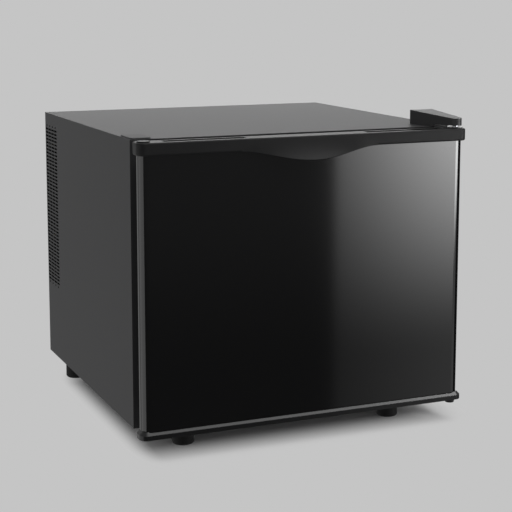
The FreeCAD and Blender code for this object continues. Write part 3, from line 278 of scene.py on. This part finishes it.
# Cord inlet: a soft black rubber grommet around a 7 mm bore, moulded in one piece and snapped
# into the round hole of the rear cover.
grommet_rubber = finish("grommet_rubber", (0.018, 0.018, 0.019), roughness=0.62, grain=0.0012,
                        relief=0.00004, tint=0.2)
dress(grommet_rubber, "cable_grommet")


# Hinges: pressed plates with pins, screwed to the top and bottom of the casing, and black nylon
# bushes in the door's caps. The upper pair is zinc plated. The open lower one is dressed in the
# casing's dark paint instead, so that it stays as dark as the shade under the bottom cap.
dress(zinc, "upper_hinge_plate", "upper_hinge_pin", "hinge_screws")
dress(casing_paint, "lower_hinge_plate", "lower_hinge_pin")
nylon = finish("bush_nylon", (0.02, 0.02, 0.021), roughness=0.4, grain=0.001, relief=0.00001, tint=0.1)
dress(nylon, "top_bush", "bottom_bush")


# Covers and plugs: black satin mouldings over the hinge and in the unused pin holes, and a thin
# blank in the tone of the casing over the unused hinge place at the left.
cap_black = finish("cap_black", (0.0098, 0.0098, 0.0101), roughness=0.46, grain=0.0006, relief=0.00003,
                   tint=0.12, edge=0.0007, Specular_IOR_Level=0.12)
dress(cap_black, "hinge_hole_plugs")
cover_black = finish("cover_black", (0.03, 0.03, 0.031), roughness=0.42, grain=0.0006, relief=0.00003,
                     tint=0.12, edge=0.0007, Specular_IOR_Level=0.2)
dress(cover_black, "upper_hinge_cover")
blank_grey = finish("blank_grey", (0.018, 0.018, 0.019), roughness=0.6, grain=0.0006, relief=0.00003,
                    tint=0.12, edge=0.0005, Specular_IOR_Level=0.35)
dress(blank_grey, "hinge_blank_cover")


# Feet: four round feet of hard black rubber with a rounded lower edge, each moulded in one piece
# and screwed into the bottom plate from below.
foot_rubber = finish("foot_rubber", (0.01, 0.01, 0.01), roughness=0.7, grain=0.0012, relief=0.00005,
                     tint=0.25, Specular_IOR_Level=0.15)
dress(foot_rubber, "foot_front_left", "foot_front_right", "foot_rear_left", "foot_rear_right")


# Shelf: steel wire, welded into a grid and dipped in white polyethylene, which runs smooth over
# the welds.
wire_white = finish("wire_coating", (0.78, 0.79, 0.8), roughness=0.24, grain=0.004, relief=0.00003,
                    tint=0.03, Coat_Weight=0.25)
dress(wire_white, "wire_shelf")


# Door skin: folded steel sheet in deep gloss black enamel, with a faint orange peel. Its front
# corners are rolled to a radius and its sides wrap back towards the cabinet.
door_gloss = finish("door_gloss", (0.0035, 0.0035, 0.0037), roughness=0.09, grain=0.004,
                    relief=0.000004, tint=0.1)
dress(door_gloss, "door_skin")


# Door caps: black satin mouldings that close the door's ends. The top one carries two narrow
# troughs and the wave-shaped lip that the fingers pull on, with a tub let into the foam behind it.
dress(cap_black, "door_top_cap", "finger_tub")
sill_black = finish("sill_black", (0.008, 0.008, 0.0084), roughness=0.28, grain=0.0006, relief=0.00001,
                    tint=0.12, edge=0.0007, Specular_IOR_Level=0.26)
dress(sill_black, "door_bottom_cap")


# Door seal: a soft black magnetic gasket, extruded with bellows at its sides and welded at its
# mitred corners, pushed into the door's inner panel. Its black is taken extra deep and dull,
# partly as painted shade, so that the gap between the door and the casing stays black.
low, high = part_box("door_gasket")
gasket_width = 0.014
lift = high.y - low.y
side_profile = [(0.0, 0.0), (0.0, 0.12), (0.0022, 0.18), (0.0009, 0.33), (0.0034, 0.5), (0.001, 0.68),
                (0.0007, 0.86), (0.0016, 1.0)]
profile = [(inset, low.y + lift * share) for inset, share in side_profile]
profile += [(gasket_width - inset, y) for inset, y in reversed(profile)]
seal = bmesh.new()
rings = []
for inset, y in profile:
    corners = [(low.x + inset, low.z + inset), (high.x - inset, low.z + inset),
               (high.x - inset, high.z - inset), (low.x + inset, high.z - inset)]
    rings.append([seal.verts.new((x, y, z)) for x, z in corners])
for here, after in zip(rings, rings[1:] + rings[:1]):
    for corner in range(4):
        onward = (corner + 1) % 4
        seal.faces.new((here[corner], here[onward], after[onward], after[corner]))
bmesh.ops.recalc_face_normals(seal, faces=seal.faces)
seal_mesh = bpy.data.meshes.new("door_seal")
seal.to_mesh(seal_mesh)
seal.free()
# Near-black, barely glossy rubber: its own black, deepened as painted shade for the gap beside the door.
seal_rubber = finish("seal_rubber", (0.004, 0.004, 0.0041), roughness=0.6, grain=0.0015, relief=0.00003,
                     tint=0.15, Specular_IOR_Level=0.08)
seal_mesh.materials.append(seal_rubber)
door_seal = bpy.data.objects.new("door_seal", seal_mesh)
bpy.context.scene.collection.objects.link(door_seal)
rounding = door_seal.modifiers.new("rounding", "BEVEL")
rounding.width = 0.0005
rounding.segments = 2
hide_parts("door_gasket")
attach(door_seal, "door")


# Door bins: clear polystyrene mouldings, open at the top, that hang by side hooks on lugs of the
# inner panel and lift off upwards.
bin_clear = finish("bin_clear", (0.95, 0.968, 0.975), roughness=0.1, grain=0.006, relief=0.00002,
                   tint=0.02, Transmission_Weight=0.9, IOR=1.5)
dress(bin_clear, "upper_bin", "lower_bin")


# Studio: a pale floor that takes the shadow under the part and fades there into a backdrop of the
# same tone. It is left out of the gloss on the door, where the backdrop takes its place.
backdrop_tone = 0.558
floor_size = 12.0
shade_middle = (0.0145, 0.0, 0.0)
shade_half = (0.1755, 0.125, 0.0)
shade_reach = (0.03, 0.08, 1.0)
floor_mesh = bpy.data.meshes.new("floor")
corners = [(-floor_size, -floor_size, 0), (floor_size, -floor_size, 0), (floor_size, floor_size, 0),
           (-floor_size, floor_size, 0)]
floor_mesh.from_pydata(corners, [], [(0, 1, 2, 3)])
floor_paint = bpy.data.materials.new("floor_paint")
floor_paint.use_nodes = True
nodes, links = floor_paint.node_tree.nodes, floor_paint.node_tree.links
matt = nodes["Principled BSDF"]
matt.inputs["Base Color"].default_value = (0.68, 0.68, 0.68, 1)
matt.inputs["Roughness"].default_value = 0.9
matt.inputs["Specular IOR Level"].default_value = 0.1
far_tone = nodes.new("ShaderNodeEmission")
far_tone.inputs["Color"].default_value = (backdrop_tone, backdrop_tone, backdrop_tone, 1)
spot = nodes.new("ShaderNodeTexCoord")
outside = spot.outputs["Object"]
for operation, other in (("SUBTRACT", shade_middle), ("ABSOLUTE", (0, 0, 0)), ("SUBTRACT", shade_half),
                         ("MAXIMUM", (0, 0, 0)), ("DIVIDE", shade_reach)):
    step = nodes.new("ShaderNodeVectorMath")
    step.operation = operation
    step.inputs[1].default_value = other
    links.new(outside, step.inputs[0])
    outside = step.outputs["Vector"]
reach = nodes.new("ShaderNodeVectorMath")
reach.operation = "LENGTH"
links.new(outside, reach.inputs[0])
fade = nodes.new("ShaderNodeMapRange")
fade.interpolation_type = "SMOOTHSTEP"
links.new(reach.outputs["Value"], fade.inputs["Value"])
seamless = nodes.new("ShaderNodeMixShader")
links.new(fade.outputs["Result"], seamless.inputs["Fac"])
links.new(matt.outputs["BSDF"], seamless.inputs[1])
links.new(far_tone.outputs["Emission"], seamless.inputs[2])
links.new(seamless.outputs["Shader"], nodes["Material Output"].inputs["Surface"])
floor_mesh.materials.append(floor_paint)
floor = bpy.data.objects.new("floor", floor_mesh)
floor.visible_glossy = False
bpy.context.scene.collection.objects.link(floor)

world = bpy.data.worlds.new("studio")
bpy.context.scene.world = world
world.use_nodes = True
sky = world.node_tree.nodes["Background"]
sky.inputs["Color"].default_value = (backdrop_tone, backdrop_tone, backdrop_tone, 1)


# Lamps: a large soft box overhead towards the right, a weak one at the left, one behind the part
# that the top panel mirrors, and one high at the right that gleams on the right end of the sill.
def soft_box(name, place, aim, width, height, power):
    """A rectangular area lamp that points at a place."""
    lamp = bpy.data.lights.new(name, "AREA")
    lamp.shape = "RECTANGLE"
    lamp.size, lamp.size_y = width, height
    lamp.energy = power
    holder = bpy.data.objects.new(name, lamp)
    holder.location = place
    holder.rotation_euler = (Vector(aim) - Vector(place)).to_track_quat("-Z", "Y").to_euler()
    holder.visible_camera = False
    bpy.context.scene.collection.objects.link(holder)
    return holder


part_middle, part_top, sill_end = (0, 0, 0.18), (0, 0, 0.34), (0.15, -0.2, 0.03)
soft_box("overhead_box", (0.8, -0.9, 2.7), part_middle, width=1.8, height=1.8, power=36)
soft_box("left_box", (-2.6, -0.9, 1.3), part_middle, width=1.6, height=1.6, power=4)
rear_box = soft_box("rear_box", (0.8, 2.7, 0.75), part_top, width=2.6, height=0.9, power=17)
sill_box = soft_box("sill_box", (2.2, -1.2, 2.7), sill_end, width=1.0, height=0.5, power=38)
rear_box.visible_diffuse = sill_box.visible_diffuse = False


# Cards: five stand around the front, out of the picture, so that the door's gloss is dark at the
# left, runs up to a pale sheen at the upper right, and has a bright line beside its dark right edge.
# The one at the left lights the rolled left edge evenly.
def mirror_card(name, start, end, tones, way):
    """An upright card that only shows in gloss; its glow runs between two tones along x and z.

    way gives for each axis where the rise begins and ends, and the share of the glow at both."""
    card_low, card_high = -0.9, 0.32
    corners = [(*start, card_low), (*end, card_low), (*end, card_high), (*start, card_high)]
    mesh = bpy.data.meshes.new(name)
    mesh.from_pydata(corners, [], [(0, 1, 2, 3)])
    paint = bpy.data.materials.new(name)
    paint.use_nodes = True
    nodes, links = paint.node_tree.nodes, paint.node_tree.links
    nodes.remove(nodes["Principled BSDF"])
    glow = nodes.new("ShaderNodeEmission")
    place = nodes.new("ShaderNodeTexCoord")
    axes = nodes.new("ShaderNodeSeparateXYZ")
    links.new(place.outputs["Object"], axes.inputs["Vector"])
    ramps = []
    for axis, (near, far, first, last) in way.items():
        ramp = nodes.new("ShaderNodeMapRange")
        ramp.interpolation_type = "SMOOTHSTEP"
        for socket, value in (("From Min", near), ("From Max", far), ("To Min", first), ("To Max", last)):
            ramp.inputs[socket].default_value = value
        links.new(axes.outputs[axis], ramp.inputs["Value"])
        ramps.append(ramp)
    both = nodes.new("ShaderNodeMath")
    both.operation = "MULTIPLY"
    for ramp, socket in zip(ramps, both.inputs):
        links.new(ramp.outputs["Result"], socket)
    glow.inputs["Color"].default_value = (1, 1, 1, 1)
    scale = nodes.new("ShaderNodeMapRange")
    scale.inputs["To Min"].default_value, scale.inputs["To Max"].default_value = tones
    links.new(both.outputs["Value"], scale.inputs["Value"])
    links.new(scale.outputs["Result"], glow.inputs["Strength"])
    links.new(glow.outputs["Emission"], nodes["Material Output"].inputs["Surface"])
    mesh.materials.append(paint)
    card = bpy.data.objects.new(name, mesh)
    card.visible_camera = card.visible_diffuse = False
    card.visible_transmission = card.visible_shadow = False
    bpy.context.scene.collection.objects.link(card)


card_y, dark_start, card_edge, line_start, line_end = -0.9, -5.0, 0.385, 0.74, 1.7
far_corner, side_x, side_back = (2.6, 2.4), -1.6, 0.9
even = (0.0, 1.0, 1.0, 1.0)
mirror_card("dark_card", (dark_start, card_y), (card_edge, card_y), (0.02, 0.16),
            {"X": (-0.6, 0.4, 0.9, 1.0), "Z": (-0.15, 0.25, 0.3, 1.0)})
mirror_card("lit_card", (card_edge, card_y), (line_start, card_y), (0.12, 13.9),
            {"X": (0.3, 0.75, 0.11, 1.0), "Z": (-0.14, 0.44, 0.045, 1.0)})
mirror_card("line_card", (line_start, card_y), (line_end, card_y), (0.0, 15.0),
            {"X": even, "Z": (-0.03, 0.2, 0.05, 1.0)})
mirror_card("edge_card", (line_end, card_y), far_corner, (0.0, 0.02), {"X": even, "Z": even})
mirror_card("side_card", (side_x, side_back), (side_x, card_y), (0.0, 1.35), {"X": even, "Z": even})


# Camera: a long lens a little above the part and to the left of its door, as in the photograph.
# The frame is dropped a little, which brings the uprights nearer to parallel.
lens_mm, frame_drop = 94.93, -0.13
camera_place = (-0.6139, -1.4805, 0.4929)
camera_yaw, camera_pitch = -23.073, -8.39
camera_data = bpy.data.cameras.new("photo_camera")
camera_data.sensor_width = 36
camera_data.lens = lens_mm
camera_data.shift_y = frame_drop
camera = bpy.data.objects.new("photo_camera", camera_data)
camera.location = camera_place
camera.rotation_euler = (math.radians(90 + camera_pitch), 0, math.radians(camera_yaw))
bpy.context.scene.collection.objects.link(camera)
bpy.context.scene.camera = camera
bpy.context.scene.view_settings.view_transform = "Standard"
